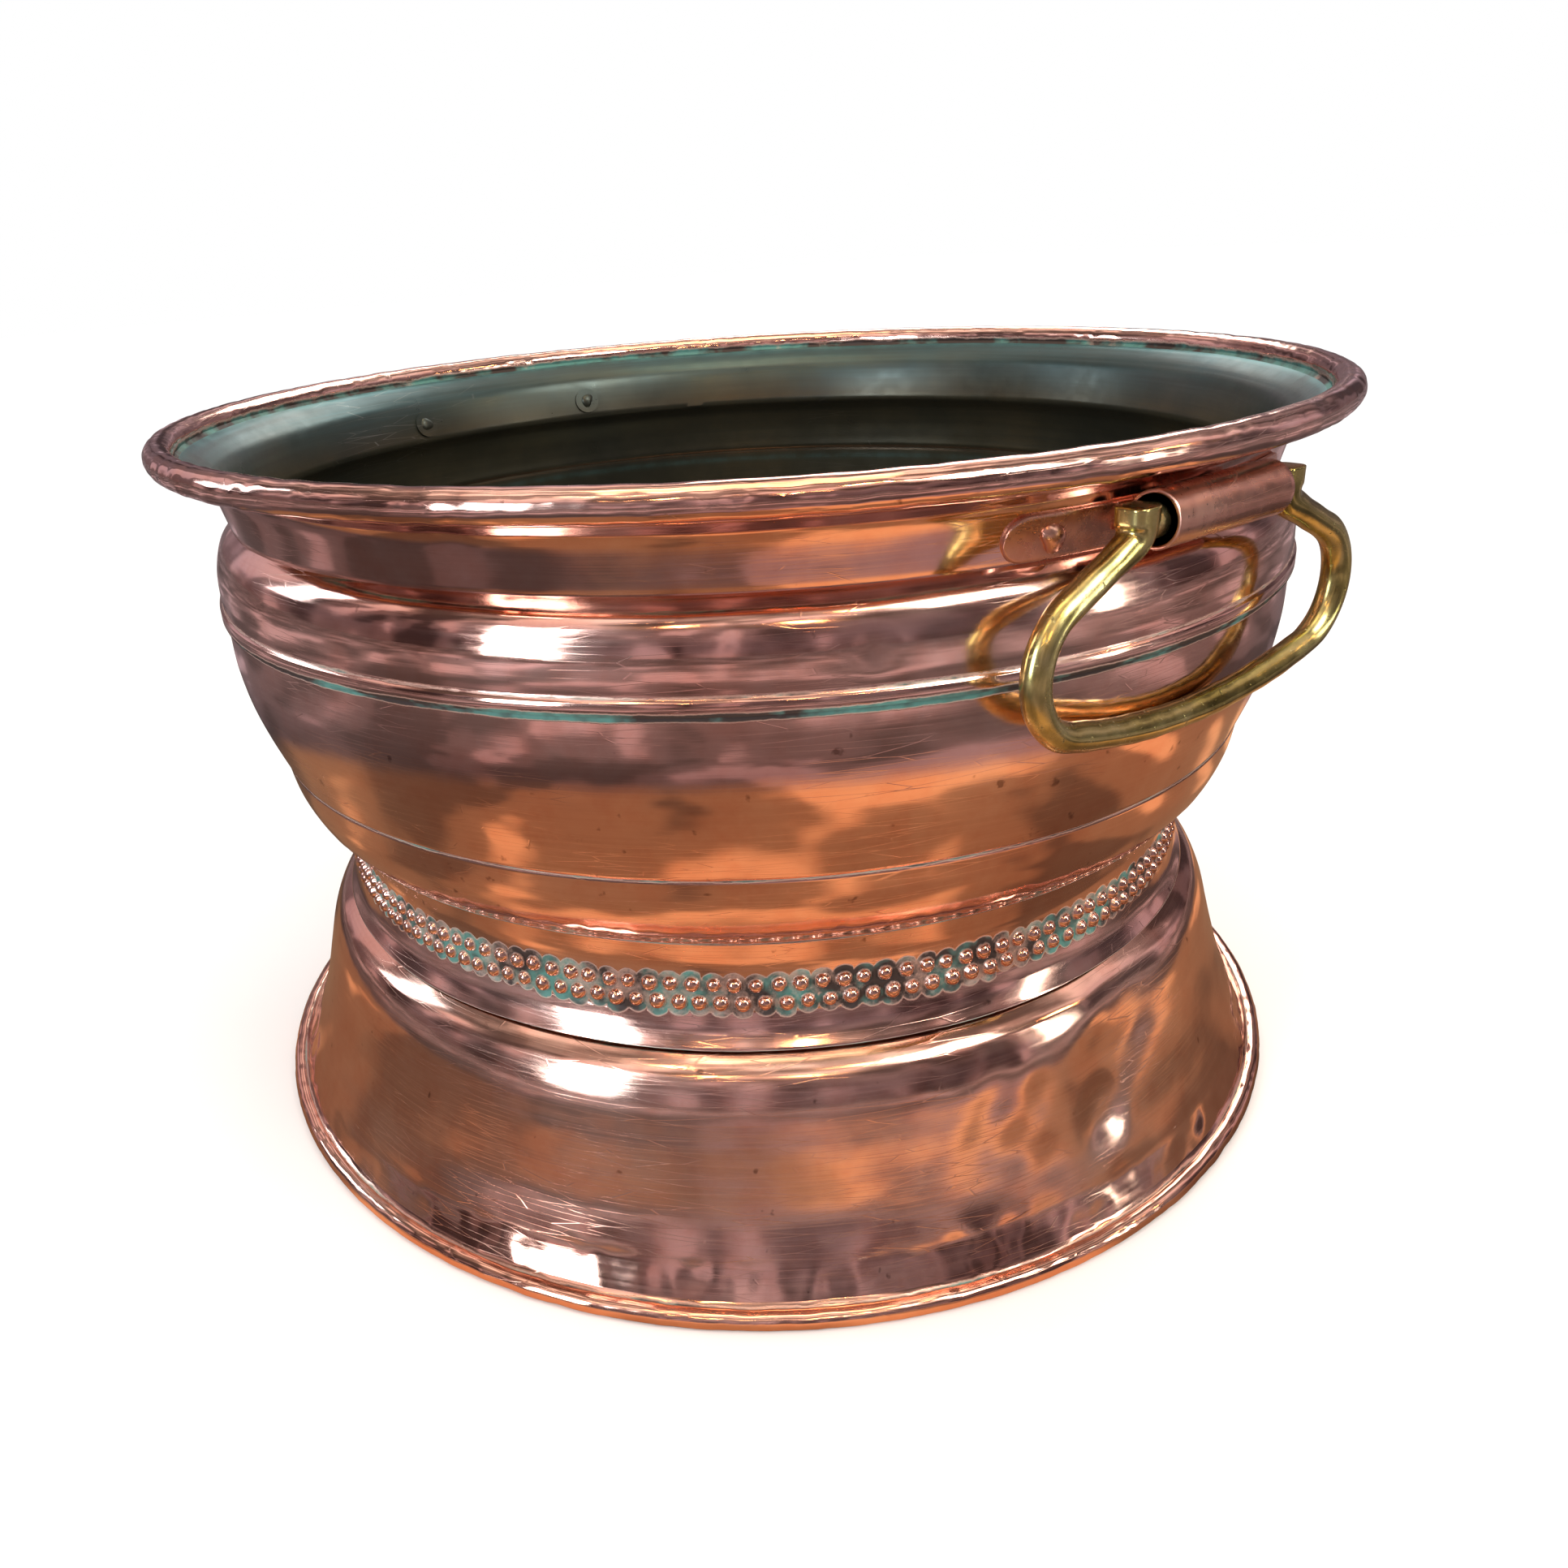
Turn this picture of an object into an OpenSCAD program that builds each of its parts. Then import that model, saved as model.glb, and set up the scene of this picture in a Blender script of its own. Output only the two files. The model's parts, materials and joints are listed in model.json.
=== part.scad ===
// Footed champagne bucket in raised copper, with two brass drop handles.
// The origin is on the table, at the middle of the foot. +Z is up and the handles lie along X.

/* [Bucket] */
// Diameter over the rolled rim
rim_d = 430; // [410:5:450]
// Height from the table to the top of the rim
height = 265; // [255:5:280]
// Thickness of the copper sheet
sheet = 1.4; // [1.2:0.1:1.6]
// Radius of the rolled rim
rim_roll_r = 5; // [4.5:0.1:5.5]
// Radius of the rolled edge of the foot
base_roll_r = 3.4; // [3.2:0.1:3.8]

/* [Handles] */
// Radius of the brass bar
bar_r = 4.3; // [3.8:0.1:4.5]
// Distance from the hinge axis down to the middle of the grip
drop = 58.7; // [56:0.1:62]
// Radius of the widest bend of the bail
bend_r = 19; // [18:0.5:20]
// Outer radius of the hinge barrel
barrel_r = 8; // [7.6:0.1:8.2]
// Length of the hinge barrel
barrel_len = 52; // [46:1:54]
// Radius of the pegs that turn in the barrel
peg_r = 4.8; // [4:0.1:5.2]

/* [Hinge plates] */
// Half the length of a plate, from its middle to its round end
plate_half = 61.5; // [58:0.5:64]
// Height of a plate
plate_h = 13; // [12:0.5:13]
// Thickness of a plate and of its rolled barrel
plate_t = 1.2; // [1:0.1:1.4]
// Angle round the bucket from a handle's middle to a rivet
rivet_angle = 13.8; // [13:0.1:14.5]
// Radius of a rivet's shank
rivet_r = 2; // [1.5:0.1:2.2]

/* [Hidden] */
$fn = 120;

copper = "#c47a5a";
brass = "#c2a24a";
iron = "#55504c";
tin = "#a9adab";

// The outlines are drawn on a pattern of this size, then stretched to rim_d and height.
pattern_d = 430;
pattern_h = 265;
wide = rim_d / pattern_d;
tall = height / pattern_h;
function on_pattern(points) = [for (p = points) [p[0] * wide, p[1] * tall]];

// A smooth curve through the points, with the given number of steps between neighbours.
function between(a, b, c, d, t) =
    0.5 * (2 * b + (c - a) * t + (2 * a - 5 * b + 4 * c - d) * t * t + (3 * b - a - 3 * c + d) * t * t * t);
function smooth(points, steps = 4) =
    let (last = len(points) - 1)
    [for (i = [0 : last], k = [0 : i < last ? steps - 1 : 0])
        i == last ? points[last]
        : between(points[max(i - 1, 0)], points[i], points[i + 1], points[min(i + 2, last)], k / steps)];

// The same line moved sideways by a distance, to the right of the way it runs.
function unit(v) = v / norm(v);
function right_of(v) = [v[1], -v[0]];
function side_at(line, i) =
    let (before = unit(line[max(i, 1)] - line[max(i, 1) - 1]),
         after = unit(line[min(i, len(line) - 2) + 1] - line[min(i, len(line) - 2)]),
         middle = unit(right_of(before) + right_of(after)))
    middle / max(0.5, middle * right_of(after));
function beside(line, distance) = [for (i = [0 : len(line) - 1]) line[i] + distance * side_at(line, i)];
function reversed(list) = [for (i = [len(list) - 1 : -1 : 0]) list[i]];

// Where the two shells, the collar and the skirt meet.
belt_bottom = 203;
belt_top = 207.2;
shoulder = [191.6, 233];
neck_top = [195.4, 247];
seam = [177.8, 121.4];
collar_bottom = [174.8, 80.6];

// Outer surface of each sheet, from its lower edge upwards.
upper_line = on_pattern(concat(
    [[201, belt_bottom], [201, belt_top], [199.8, belt_top + 0.9]],
    smooth([[199.9, 213], [199.3, 220], [196.8, 227.3], shoulder]),
    smooth([neck_top, [198.3, 251.4], [202.6, 254.9], [206.2, 257.2]])));
lower_line = on_pattern(concat(
    [[0, 105], [80, 105]],
    smooth([[140, 108.5], [161, 113.6], [168.5, 118.2], [173, 119.9]]),
    [seam],
    smooth([[183, 128.2], [187.2, 138], [189.3, 148.6]], 3),
    smooth([[190.6, 151.4], [194.2, 162.5], [197.4, 174], [199.1, 185.5], [199.4, 195], [199.35, belt_top - 1.8]])));
collar_line = on_pattern(smooth(
    [collar_bottom, [171.5, 85.8], [169.6, 92], [169.1, 98.5], [169.1, 104.5], [169.6, 110], [171.7, 118.3]]));
skirt_line = on_pattern(concat(
    smooth([[206.4, 5.2], [203.4, 10.8], [200.6, 15.8]], 3),
    smooth([[199.8, 17.4], [194.6, 29.5], [190.6, 42], [187.2, 54.5], [184, 66], [179.6, 74.6], [172.9, 79.7]]),
    smooth([[169.3, 85.6], [167.7, 91.8]], 3)));

rim_ring = [rim_d / 2 - rim_roll_r, height - rim_roll_r];
base_ring = [211.8 * wide - base_roll_r, base_roll_r - 0.4];
bead_rows = on_pattern([[168.9, 95.2], [168.9, 101.7]]);
bead_r = 2.4;

// The straight neck carries the hinge plates and leans outwards by this angle.
neck_low = on_pattern([shoulder])[0];
neck_high = on_pattern([neck_top])[0];
neck_lean = atan((neck_high[0] - neck_low[0]) / (neck_high[1] - neck_low[1]));
function neck_r(z) = neck_low[0] + (z - neck_low[1]) * tan(neck_lean);

// Gap between a plate and the neck, and between a rove and the sheet, so that flat and round faces don't cut in.
bed = 0.12;
plate_z = neck_low[1] + 6.8;
hinge_z = plate_z + 2.7;
web = 0.7;
hinge_r = neck_r(hinge_z) + plate_t + web + barrel_r;
bore_r = barrel_r - plate_t;

// The bail's half outline, from the hinge axis: u goes sideways and v goes down.
lug_r = 5.2;
lug_u = 33;
lug_rise = 5;
neck_bend_r = 6;
grip_lean = 14;
bend_u = 50.5;
grip_r = bend_u / sin(grip_lean) + bend_r;
bend_v = drop - bend_r * cos(grip_lean) - grip_r * (1 - cos(grip_lean));
// The neck turns just far enough to run straight into the wide bend.
neck_step = bend_u - lug_u - neck_bend_r;
neck_turn = asin((bend_r + neck_bend_r) / norm([bend_v, neck_step])) + atan(neck_step / bend_v);
neck_end = [lug_u + neck_bend_r * (1 - cos(neck_turn)), neck_bend_r * sin(neck_turn)];
bend_start = [bend_u + bend_r * cos(neck_turn), bend_v - bend_r * sin(neck_turn)];
bend_end = [bend_u + bend_r * sin(grip_lean), bend_v + bend_r * cos(grip_lean)];
// A length of bar runs this many degrees into the next one, which is thicker or thinner by this much.
bite = 2;
ease = 0.03;

// A closed ring of sheet: the outline, and the same outline one thickness further in.
module sheet_ring(line) {
    rotate_extrude() polygon(concat(line, reversed(beside(line, -sheet))));
}

// The hollow roll that closes round a wire.
module roll(ring, radius) {
    rotate_extrude() translate(ring) difference() {
        circle(r = radius, $fn = 48);
        circle(r = radius - sheet, $fn = 48);
    }
}

module wire(ring, radius) {
    color(iron) rotate_extrude() translate(ring) circle(r = radius, $fn = 36);
}

// A low dome that stands on the XY plane.
module dome(radius, rise) {
    ball_r = (radius * radius + rise * rise) / (2 * rise);
    intersection() {
        translate([0, 0, rise - ball_r]) sphere(r = ball_r, $fn = 48);
        cylinder(r = radius + 1, h = rise + 1, $fn = 48);
    }
}

// Puts a part on the neck at an angle round the bucket, with its Z axis straight out of the sheet.
module on_neck(angle) {
    rotate([0, 0, angle]) translate([neck_r(plate_z), 0, plate_z]) rotate([0, 90 + neck_lean, 0]) children();
}

// Puts a handle's part at the hinge: X goes sideways and Y goes down.
module at_hinge(side) {
    rotate([0, 0, side > 0 ? 0 : 180]) translate([hinge_r, 0, hinge_z])
        rotate([-90, 0, 90]) children();
}

module rivet_holes(radius) {
    for (side = [0, 180], step = [-1, 1])
        on_neck(side + step * rivet_angle) translate([0, 0, -10]) cylinder(r = radius, h = 20, $fn = 36);
}

// Neck, shoulder and upper belly. Its bottom edge is set out by one thickness and laps over the lower bowl.
module upper_bowl() {
    color(copper) difference() {
        union() {
            sheet_ring(upper_line);
            roll(rim_ring, rim_roll_r);
        }
        rivet_holes(rivet_r);
        rotate_extrude() translate(rim_ring) circle(r = rim_roll_r - sheet, $fn = 48);
    }
}

module rim_wire() {
    wire(rim_ring, rim_roll_r - sheet - 0.05);
}

// Lower belly, ring moulding and dished floor.
module lower_bowl() {
    color(copper) sheet_ring(lower_line);
}

// The run of solder that holds the floor of the bowl in the collar.
module foot_solder() {
    color(tin) rotate_extrude() polygon(on_pattern([[169.6, 118], [168.4, 114.6], [166, 115.8]]));
}

// The waist, with its two rows of punched beads drawn as two plain mouldings.
module foot_collar() {
    color(copper) difference() {
        union() {
            sheet_ring(collar_line);
            for (row = bead_rows) rotate_extrude() translate(row) circle(r = bead_r, $fn = 36);
        }
        translate([0, 0, bead_rows[0][1] - 2 * bead_r])
            cylinder(r = bead_rows[0][0] - sheet + 0.1, h = bead_rows[1][1] - bead_rows[0][1] + 4 * bead_r);
    }
}

// The bell of the foot, from its neck inside the collar to the rolled edge, which is worn flat underneath.
module foot_skirt() {
    color(copper) difference() {
        union() {
            sheet_ring(skirt_line);
            roll(base_ring, base_roll_r);
        }
        rotate_extrude() translate(base_ring) circle(r = base_roll_r - sheet, $fn = 48);
        translate([0, 0, -20]) cylinder(r = rim_d, h = 20);
    }
}

module base_wire() {
    wire(base_ring, base_roll_r - sheet - 0.05);
}

// The leaning neck between two heights, as a solid cone set out by a distance.
module neck_cone(low, high, out) {
    translate([0, 0, low]) cylinder(r1 = neck_r(low) + out, r2 = neck_r(high) + out, h = high - low);
}

// A long round-ended plate that follows the neck, with a tab rolled into the barrel.
module hinge(side) {
    low = plate_z - plate_h / 2;
    high = plate_z + plate_h / 2;
    end_y = plate_half - plate_h / 2;
    color(copper) rotate([0, 0, side > 0 ? 0 : 180]) difference() {
        union() {
            intersection() {
                neck_cone(low - 1, high + 1, plate_t);
                union() {
                    translate([rim_d / 4, -end_y, low]) cube([rim_d / 4, 2 * end_y, plate_h]);
                    for (end = [-1, 1]) translate([rim_d / 4, end * end_y, plate_z])
                        rotate([0, 90, 0]) cylinder(r = plate_h / 2, h = rim_d / 4, $fn = 48);
                }
            }
            translate([neck_r(hinge_z) - 3, -barrel_len / 2, hinge_z - 3.5])
                cube([plate_t + web + 4.7, barrel_len, 7]);
            translate([hinge_r, barrel_len / 2, hinge_z]) rotate([90, 0, 0]) cylinder(r = barrel_r, h = barrel_len);
        }
        neck_cone(low - 2, high + 2, bed);
        translate([hinge_r, barrel_len, hinge_z]) rotate([90, 0, 0]) cylinder(r = bore_r, h = 2 * barrel_len);
        rivet_holes(rivet_r);
    }
}

// Round bar bent through an angle, in the XY plane.
module bend(centre, radius, from, turn, bar = bar_r) {
    translate(centre) rotate([0, 0, from])
        rotate_extrude(angle = turn) translate([radius, 0]) circle(r = bar, $fn = 36);
}

module straight(from, to, radius) {
    way = to - from;
    translate(from) rotate([0, 0, atan2(way[1], way[0])]) rotate([0, 90, 0])
        cylinder(r = radius, h = norm(way), $fn = 36);
}

// One side of the bail: peg, flat-topped lug, S-shaped neck and wide bend.
module bail_arm() {
    straight([barrel_len / 2 - 10, 0], [lug_u, 0], peg_r);
    straight([lug_u, -lug_rise], [lug_u, 4], lug_r);
    bend([lug_u + neck_bend_r, 0], neck_bend_r, 180, -neck_turn - bite);
    straight(neck_end, bend_start, bar_r - ease);
    bend([bend_u, bend_v], bend_r, -neck_turn - bite, 90 + neck_turn - grip_lean + bite);
}

// The whole bail, with its slightly bowed grip.
module handle(side) {
    color(brass) at_hinge(side) {
        for (end = [0, 1]) mirror([end, 0, 0]) bail_arm();
        bend([0, bend_end[1] - grip_r * cos(grip_lean)], grip_r, 89 - grip_lean, 2 * grip_lean + 2, bar_r - ease);
    }
}

// A copper rivet: domed head outside, hammered head inside.
module rivet(angle) {
    color(copper) on_neck(angle) {
        translate([0, 0, plate_t * cos(neck_lean) + 0.02]) dome(4.3, 2.2);
        translate([0, 0, -sheet - 1 - bed]) cylinder(r = rivet_r, h = sheet + plate_t + 1 + bed, $fn = 36);
        translate([0, 0, -sheet - 1 - bed]) rotate([180, 0, 0]) dome(3.3, 1.2);
    }
}

// The washer under a rivet's inner head.
module rove(angle) {
    color(copper) on_neck(angle) translate([0, 0, -sheet - 1 - bed]) difference() {
        cylinder(r = 6, h = 1, $fn = 48);
        translate([0, 0, -1]) cylinder(r = rivet_r, h = 3, $fn = 36);
    }
}

upper_bowl();
rim_wire();
lower_bowl();
foot_solder();
foot_collar();
foot_skirt();
base_wire();
hinge(1);  // hinge_right
hinge(-1);  // hinge_left
handle(1);  // handle_right
handle(-1);  // handle_left
rivet(-rivet_angle);  // rivet_right_front
rivet(rivet_angle);  // rivet_right_back
rivet(180 + rivet_angle);  // rivet_left_front
rivet(180 - rivet_angle);  // rivet_left_back
rove(-rivet_angle);  // rove_right_front
rove(rivet_angle);  // rove_right_back
rove(180 + rivet_angle);  // rove_left_front
rove(180 - rivet_angle);  // rove_left_back
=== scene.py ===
"""Looks of the footed copper champagne bucket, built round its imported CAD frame.

Outlines are given in millimetres as (radius, height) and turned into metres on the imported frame's own size.
"""

import json
import math

import bpy
import numpy as np
from mathutils import Matrix, Vector


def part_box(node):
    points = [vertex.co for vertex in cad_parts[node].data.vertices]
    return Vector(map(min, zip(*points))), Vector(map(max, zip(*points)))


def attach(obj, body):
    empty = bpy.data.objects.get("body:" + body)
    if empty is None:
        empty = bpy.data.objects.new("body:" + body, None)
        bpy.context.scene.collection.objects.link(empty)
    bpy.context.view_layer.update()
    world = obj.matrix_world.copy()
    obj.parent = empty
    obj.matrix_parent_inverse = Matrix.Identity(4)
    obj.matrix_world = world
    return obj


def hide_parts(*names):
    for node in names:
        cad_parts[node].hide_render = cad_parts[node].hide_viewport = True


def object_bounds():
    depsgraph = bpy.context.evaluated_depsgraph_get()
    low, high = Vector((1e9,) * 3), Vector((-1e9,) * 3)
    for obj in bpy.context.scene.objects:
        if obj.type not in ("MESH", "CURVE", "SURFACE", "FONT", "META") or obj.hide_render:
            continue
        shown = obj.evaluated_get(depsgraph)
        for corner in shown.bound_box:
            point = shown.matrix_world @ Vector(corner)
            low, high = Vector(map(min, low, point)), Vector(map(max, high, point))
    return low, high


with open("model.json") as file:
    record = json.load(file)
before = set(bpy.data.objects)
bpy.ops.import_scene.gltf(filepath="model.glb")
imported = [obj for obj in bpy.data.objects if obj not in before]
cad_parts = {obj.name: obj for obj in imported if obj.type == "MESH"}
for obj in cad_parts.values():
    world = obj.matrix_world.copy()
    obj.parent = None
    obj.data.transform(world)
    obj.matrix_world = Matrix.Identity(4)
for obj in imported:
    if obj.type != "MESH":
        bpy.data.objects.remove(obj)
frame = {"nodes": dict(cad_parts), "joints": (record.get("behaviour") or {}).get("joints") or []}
cad_low, cad_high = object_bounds()
JOINT = frame["joints"][0]
MM = 0.001
BACKDROP = (1.0, 1.0, 1.0)
SHARP_ANGLE = 48
BUMP_DEPTH = 0.0002
WIDE = (cad_high.x - cad_low.x) / 0.430
TALL = cad_high.z / 0.265

# ---------------------------------------------------------------- outlines

SHEET = 1.4
SHOULDER = (191.6, 233)
NECK_TOP = (195.4, 247)
RIM_RING = (210, 260, 5.0)
BASE_RING = (208.4, 3.0, 3.4)
BEAD_ROWS = (95.2, 101.7)
BEADS_PER_ROW = 156
BEAD_R = 2.75


def smooth(points, steps=8):
    """A smooth curve through the points, with the given number of steps between neighbours."""
    p = np.array(points, float)
    curve = []
    for i in range(len(p) - 1):
        a, b, c, d = p[max(i - 1, 0)], p[i], p[i + 1], p[min(i + 2, len(p) - 1)]
        for t in np.arange(steps) / steps:
            bow = 2 * a - 5 * b + 4 * c - d
            twist = 3 * b - a - 3 * c + d
            curve.append(0.5 * (2 * b + (c - a) * t + bow * t**2 + twist * t**3))
    return np.array(curve + [p[-1]])


def arc(ring, start, end, steps=28):
    """Points on a roll's outside, from one angle to another in degrees."""
    turn = np.radians(np.linspace(start, end, steps))
    return np.stack([ring[0] + ring[2] * np.cos(turn), ring[1] + ring[2] * np.sin(turn)], 1)


def normals(line):
    """The direction out of the sheet at each point of a line that runs upwards."""
    steps = np.diff(line, axis=0)
    steps /= np.linalg.norm(steps, axis=1)[:, None]
    side = np.stack([steps[:, 1], -steps[:, 0]], 1)
    both = np.concatenate([side[:1], side[:-1] + side[1:], side[-1:]])
    return both / np.linalg.norm(both, axis=1)[:, None]


UPPER = np.concatenate([
    [(200.7, 203), (201, 203.3), (201, 205), (201, 206.9), (200.8, 207.2), (199.9, 207.9)],
    smooth([(199.8, 208.6), (199.9, 213), (199.3, 220), (196.8, 227.3), SHOULDER], 10),
    smooth([(192.0, 234.2), NECK_TOP, (198.3, 251.4), (202.6, 254.9), (204.9, 256.3)], 10),
])
LOWER = np.concatenate([
    smooth([(0, 105), (40, 105), (80, 105.2), (140, 108.5), (161, 113.6), (168.5, 118.2), (173, 119.9)], 5),
    [(175.4, 120.7), (177.4, 121.2), (178.0, 121.9)],
    smooth([(178.6, 122.8), (183, 128.2), (187.2, 138), (189.2, 148.3)]),
    [(189.0, 149.0)],
    smooth([(189.6, 149.8), (194.2, 162.5), (197.4, 174), (199.1, 185.5), (199.4, 195), (199.3, 205.4)], 10),
])
COLLAR = np.concatenate([
    [(174.3, 80.5), (174.7, 80.8)],
    smooth([(174.6, 81.2), (171.5, 85.8), (169.6, 91.2)]),
    [(169.4, z) for z in np.arange(91.7, 105.4, 0.35)],
    smooth([(169.4, 105.7), (169.6, 110), (171.6, 117.8)]),
    [(171.8, 118.2), (171.5, 118.5)],
])
SKIRT = np.concatenate([
    smooth([(205.4, 7.0), (203.4, 10.8), (200.7, 15.6)], 10),
    smooth([(199.8, 17.4), (194.6, 29.5), (190.6, 42), (187.2, 54.5), (184, 66), (179.6, 74.6),
            (172.9, 79.7)], 10),
    smooth([(171.7, 81.6), (169.3, 85.6), (167.7, 91.8)], 4),
])


def neck_r(z):
    """Radius of the neck's straight part at a height, in outline units."""
    return SHOULDER[0] + (z - SHOULDER[1]) * (NECK_TOP[0] - SHOULDER[0]) / (NECK_TOP[1] - SHOULDER[1])


# ---------------------------------------------------------------- uneven metal


def ripple(points, wavelength, seed, count=20):
    """A smooth random field of about -1 to 1 with the given wavelength, in millimetres."""
    rng = np.random.default_rng(seed)
    waves = rng.normal(size=(count, 3))
    size = 2 * math.pi / (wavelength * MM) / np.linalg.norm(waves, axis=1)
    waves *= (size * rng.uniform(0.6, 1.2, count))[:, None]
    return np.sin(points @ waves.T + rng.uniform(0, 6.28, count)).sum(-1) / math.sqrt(count)


def place(angle, radius, height):
    """A point from its angle in degrees and its outline radius and height."""
    turn = math.radians(angle)
    out = radius * WIDE * MM
    return np.array([out * math.cos(turn), out * math.sin(turn), height * TALL * MM])


def dent(points, centre, radius, depth, steep=2.0):
    """Displacement of one dent: depth and radius in millimetres, inwards when depth is positive."""
    far = np.linalg.norm(points - centre, axis=-1) / (radius * MM)
    return -depth * MM * np.exp(-(far**steep))


def hammered(points, outline, count, radius, depth, seed):
    """Many shallow hammer marks, spread along a stretch of outline given by its two ends."""
    rng = np.random.default_rng(seed)
    total = np.zeros(points.shape[:-1])
    for k in range(count):
        along = rng.uniform()
        r, z = (1 - along) * np.array(outline[0]) + along * np.array(outline[1])
        centre = place((k + rng.uniform(-0.4, 0.4)) * 360 / count, r, z)
        total += dent(points, centre, radius * rng.uniform(0.7, 1.2), depth * rng.uniform(0.5, 1.1), 3.0)
    return total


def planished(points):
    """The waviness that every copper sheet shares, so that neighbouring pieces keep together."""
    wide = 0.16 * ripple(points, 90, 3)
    close = 0.035 * ripple(points, 26, 4)
    return MM * (wide + close + 0.010 * ripple(points, 11, 5))


def bowl_shape(points):
    """Two old knocks, and the row of small planishing dots on the ring moulding."""
    knocks = dent(points, place(-29, 199.5, 218), 5, 0.5) + dent(points, place(-61, 196.5, 250), 6, 0.4)
    dots = hammered(points, [(182.0, 127.0), (182.6, 127.8)], 120, 2.6, 0.16, 7)
    return planished(points) + knocks + dots


def skirt_shape(points):
    """The foot's dents: a big one with its neighbours, a shallow wave, a crumple and a hammered flange."""
    big = dent(points, place(-2, 191.5, 38), 10, 1.9, 3.0) + dent(points, place(1.5, 186, 59), 17, 1.5, 3.0)
    big += dent(points, place(7.5, 184, 64), 12, 1.2) + dent(points, place(-1.5, 184.5, 72), 9, -0.7)
    wave = dent(points, place(-33, 194.5, 30), 15, 0.5) + dent(points, place(-24, 194, 32), 12, -0.25)
    crumple = dent(points, place(-14, 189, 46), 24, 1.0) / MM * ripple(points, 15, 8) * 0.22 * MM
    others = dent(points, place(118, 190, 44), 20, 0.9) + dent(points, place(215, 187, 55), 14, 0.8)
    flange = hammered(points, [(206.0, 7.0), (200.5, 15.5)], 210, 6.0, 0.30, 9)
    return planished(points) + big + wave + crumple + others + flange


def nearest_bead(points):
    """How far each point is from the nearest punched bead, in bead radii, and that bead's size."""
    rng = np.random.default_rng(11)
    radius = np.hypot(points[..., 0], points[..., 1])
    turn = np.arctan2(points[..., 1], points[..., 0]) / (2 * math.pi) % 1
    nearest = np.full(points.shape[:-1], 99.0)
    size = np.ones(points.shape[:-1])
    for row, z in enumerate(BEAD_ROWS):
        shift = rng.uniform(-0.35, 0.35, (BEADS_PER_ROW, 2))
        sizes = rng.uniform(0.86, 1.06, BEADS_PER_ROW)
        step = turn * BEADS_PER_ROW + 0.35 * row
        which = np.floor(step).astype(int) % BEADS_PER_ROW
        across = (step % 1 - 0.5) * 2 * math.pi * radius / BEADS_PER_ROW / MM + shift[which, 0]
        up = points[..., 2] / (TALL * MM) - z + shift[which, 1]
        far = np.hypot(across / 0.92, up) / (BEAD_R * sizes[which])
        size = np.where(far < nearest, sizes[which], size)
        nearest = np.minimum(far, nearest)
    return nearest, size


def collar_shape(points):
    """Two rows of punched beads, slightly uneven in step and height."""
    far, size = nearest_bead(points)
    beads = 2.2 * size * np.sqrt(np.clip(1 - far**2, 0, 1)) - 0.25 * np.exp(-((far - 1.1) ** 2) * 30)
    return planished(points) + MM * beads


def collar_hollows(points):
    """Tarnish left between the beads, partly painted shade: its near-black darkens the hollows."""
    far, _ = nearest_bead(points)
    return 0.6 * np.clip((far - 0.8) * 4, 0, 1) * np.clip((2.2 - far) * 2, 0, 1)


def roll_shape(points):
    """A rolled edge, a little uneven and never outside its true round."""
    return -MM * np.maximum(0.02, 0.12 + 0.10 * ripple(points, 14, 12) + 0.05 * ripple(points, 6, 13))


# ---------------------------------------------------------------- meshes


def finish_mesh(name, vertices, faces, materials, strip=None, uv=None, grime_and_shade=None, sharp=SHARP_ANGLE):
    """A shaded mesh object; strip says which faces use the second material."""
    mesh = bpy.data.meshes.new(name)
    mesh.from_pydata(vertices.tolist(), [], faces.tolist())
    for material in materials:
        mesh.materials.append(material)
    if strip is not None:
        mesh.polygons.foreach_set("material_index", strip.astype(np.int32))
    if uv is not None:
        layer = mesh.uv_layers.new(name="Profile")
        layer.data.foreach_set("uv", uv[faces].reshape(-1).astype(np.float32))
    if grime_and_shade is not None:
        mesh.attributes.new("grime_and_shade", "FLOAT", "POINT").data.foreach_set("value", grime_and_shade.astype(np.float32))
    mesh.polygons.foreach_set("use_smooth", np.ones(len(mesh.polygons), bool))
    mesh.set_sharp_from_angle(angle=math.radians(sharp))
    mesh.update()
    piece = bpy.data.objects.new(name, mesh)
    bpy.context.scene.collection.objects.link(piece)
    return piece


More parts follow.
